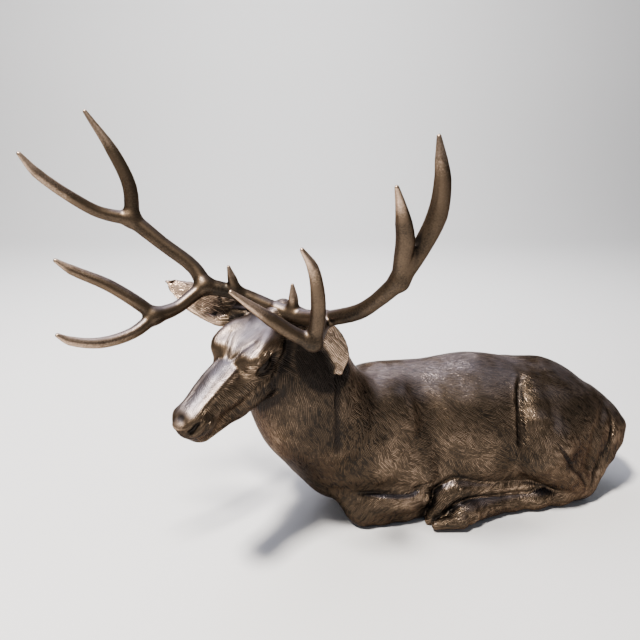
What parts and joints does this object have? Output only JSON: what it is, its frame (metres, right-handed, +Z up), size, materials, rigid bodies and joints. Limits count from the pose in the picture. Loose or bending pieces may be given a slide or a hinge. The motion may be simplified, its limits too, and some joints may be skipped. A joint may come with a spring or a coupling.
{
  "type": "bronze deer sculpture",
  "caption": "Life-size bronze of an antlered buck lying down with folded legs, its raised head turned aside; carved hair and worn brown patina.",
  "frame": {"origin": "on the ground under the middle of the belly, on the flat face that the sculpture rests on", "axes": "+Z up; the deer lies along X and faces -X, with its left side and its turned head towards -Y"},
  "size_m": [1.5538, 0.7351, 1.0466],
  "materials": {
    "bronze": "dark brown patina, rubbed to warm bronze on raised hair, brows and antler forks"
  },
  "bodies": {
    "root": {"deer": "bronze", "antler_left": "bronze", "antler_right": "bronze"}
  },
  "joints": []
}
